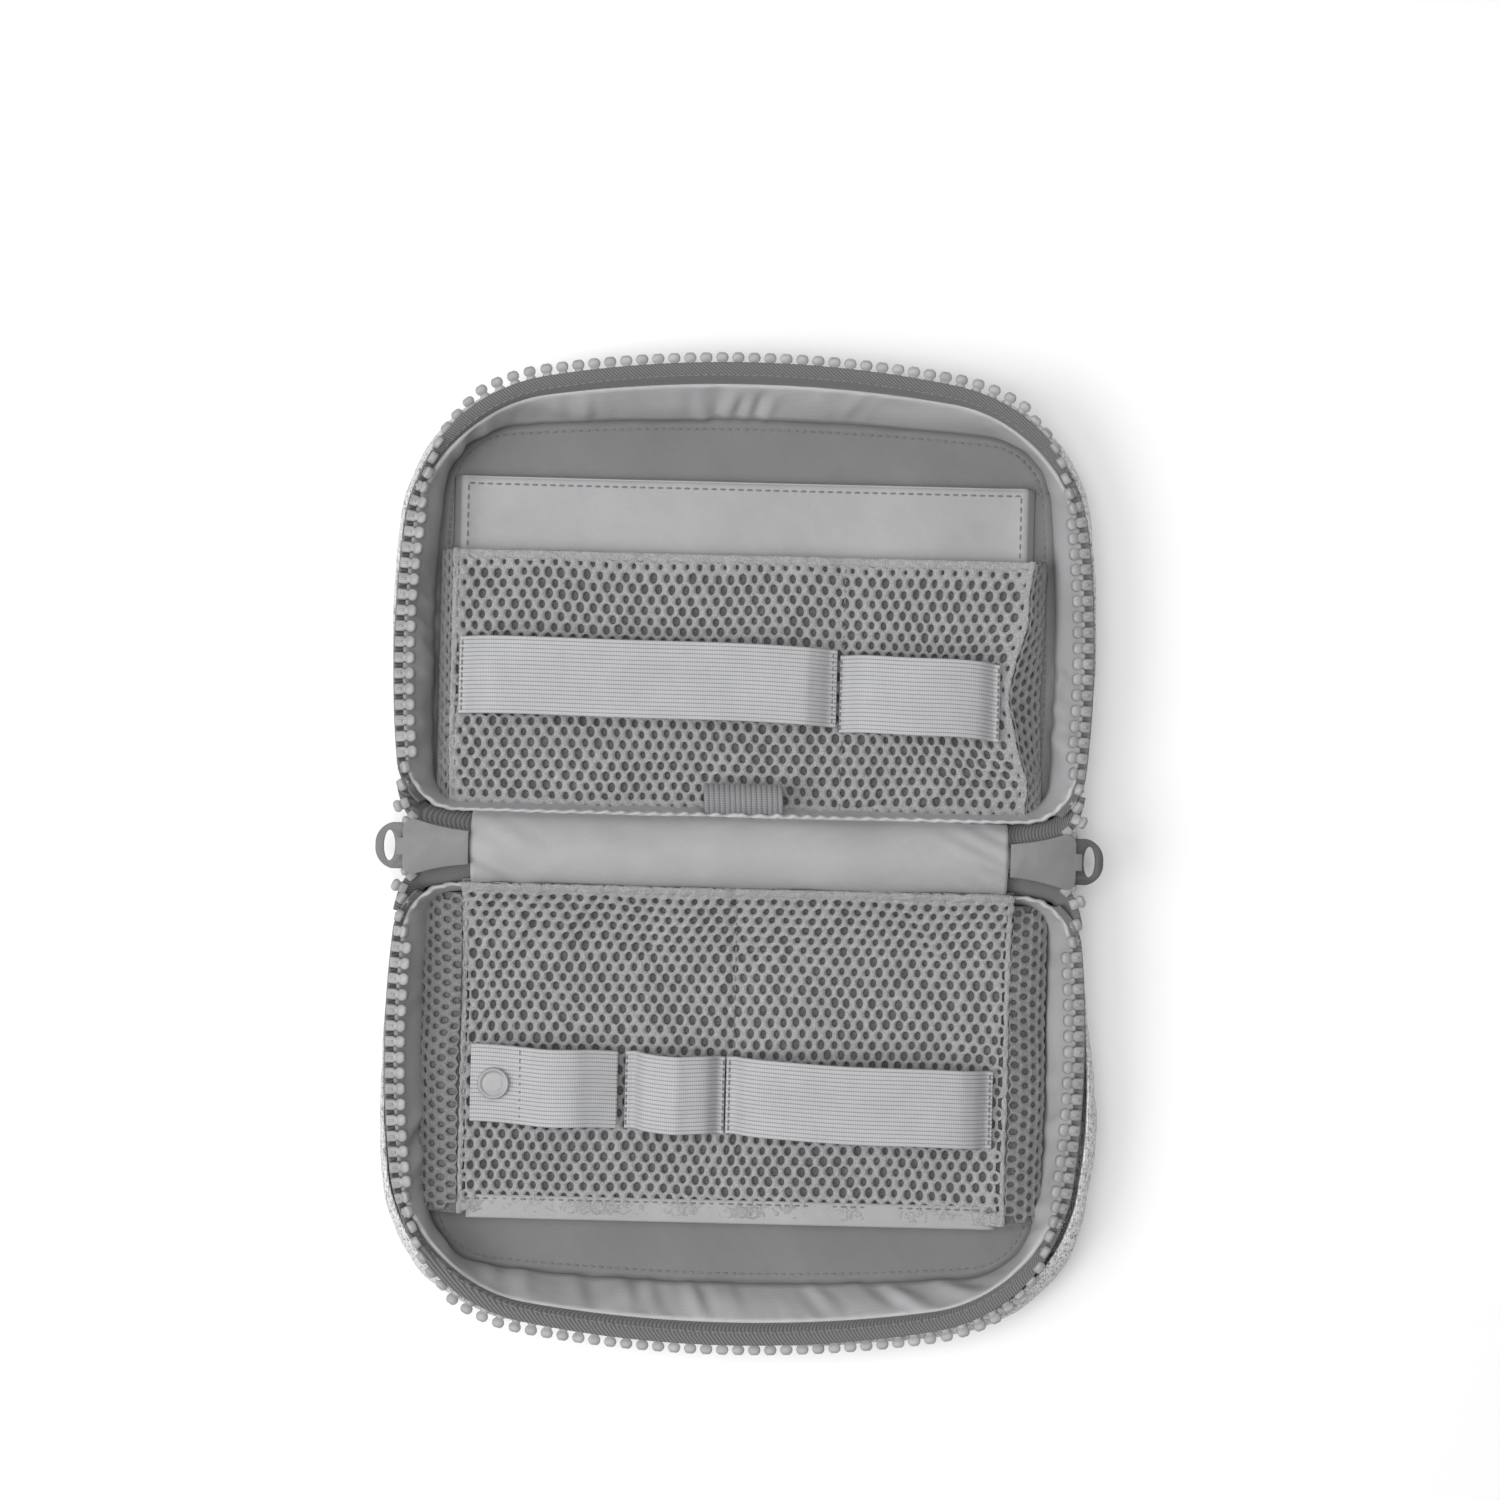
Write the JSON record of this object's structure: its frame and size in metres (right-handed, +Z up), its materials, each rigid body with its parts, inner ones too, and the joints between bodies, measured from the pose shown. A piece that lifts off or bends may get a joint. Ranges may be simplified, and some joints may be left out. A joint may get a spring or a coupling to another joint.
{
  "type": "cable organizer pouch",
  "caption": "Soft clamshell organizer pouch, open flat, with a zip on three sides, mesh and slip pockets, elastic loops, a snap strap, a pen loop and zip pulls.",
  "frame": {"origin": "middle of the hinge line, on the surface that both halves lie on", "axes": "+X along the hinge line, +Y from the base half to the lid half, +Z up"},
  "size_m": [0.2328, 0.3206, 0.0311],
  "materials": {
    "shell_cloth": "heather woven polyester",
    "foam": "closed-cell foam",
    "lining": "smooth nylon lining",
    "mesh": "knitted spacer mesh",
    "elastic": "ribbed woven elastic",
    "tape": "woven zip tape",
    "teeth": "moulded zip teeth",
    "slider_metal": "matte lacquered zinc",
    "snap_metal": "lacquered brass snap"
  },
  "bodies": {
    "base_half": {"base_elastic_large": "elastic", "base_elastic_small": "elastic", "base_floor_lining": "lining", "base_foam_pad": "foam", "base_mesh_front": "mesh", "base_mesh_gusset_left": "mesh", "base_mesh_gusset_right": "mesh", "base_mouth_binding": "lining", "base_outer_gusset": "shell_cloth", "base_outer_panel": "shell_cloth", "base_spine_side": "shell_cloth", "base_wall_lining": "lining", "base_zip_tape": "tape", "base_zip_teeth": "teeth", "snap_stud": "snap_metal", "snap_washer": "snap_metal"},
    "lid_half": {"lid_elastic_long": "elastic", "lid_elastic_short": "elastic", "lid_floor_lining": "lining", "lid_foam_pad": "foam", "lid_mesh_pocket": "mesh", "lid_outer_gusset": "shell_cloth", "lid_outer_panel": "shell_cloth", "lid_slip_pocket": "lining", "lid_spine_side": "shell_cloth", "lid_wall_lining": "lining", "lid_zip_tape": "tape", "lid_zip_teeth": "teeth", "pen_loop": "elastic"},
    "spine": {"left_zip_end": "teeth", "right_zip_end": "teeth", "spine_lining": "lining", "spine_panel": "shell_cloth"},
    "snap_strap": {"snap_cap": "snap_metal", "snap_socket": "snap_metal", "snap_strap": "elastic"},
    "left_slider": {"left_slider": "slider_metal", "left_slider_bridge": "slider_metal"},
    "right_slider": {"right_slider": "slider_metal", "right_slider_bridge": "slider_metal"},
    "left_pull": {"left_pull": "slider_metal"},
    "right_pull": {"right_pull": "slider_metal"}
  },
  "joints": [
    {"name": "lid_fold", "type": "hinge", "parent": "base_half", "child": "lid_half", "pos_m": [0, 0, 0.028], "axis": [1, 0, 0], "range_deg": [0, 180]},
    {"name": "spine_fold", "type": "hinge", "parent": "base_half", "child": "spine", "pos_m": [0, 0, 0.028], "axis": [1, 0, 0], "range_deg": [0, 90]},
    {"name": "left_slider_run", "type": "slide", "parent": "spine", "child": "left_slider", "axis": [-1, 0, 0], "range_m": [0, 0.008]},
    {"name": "right_slider_run", "type": "slide", "parent": "spine", "child": "right_slider", "axis": [1, 0, 0], "range_m": [0, 0.008]},
    {"name": "left_pull_swing", "type": "hinge", "parent": "left_slider", "child": "left_pull", "pos_m": [-0.096, 0, 0.02365], "axis": [0, -1, 0], "range_deg": [0, 90]},
    {"name": "right_pull_swing", "type": "hinge", "parent": "right_slider", "child": "right_pull", "pos_m": [0.096, 0, 0.02365], "axis": [0, 1, 0], "range_deg": [0, 90]},
    {"name": "snap_strap_open", "type": "hinge", "parent": "base_half", "child": "snap_strap", "pos_m": [-0.037, -0.0756, 0.01735], "axis": [0, -1, 0], "range_deg": [-85, 0]}
  ],
  "couplings": [
    {"joint": "spine_fold", "follows": "lid_fold", "ratio": 0.5}
  ]
}
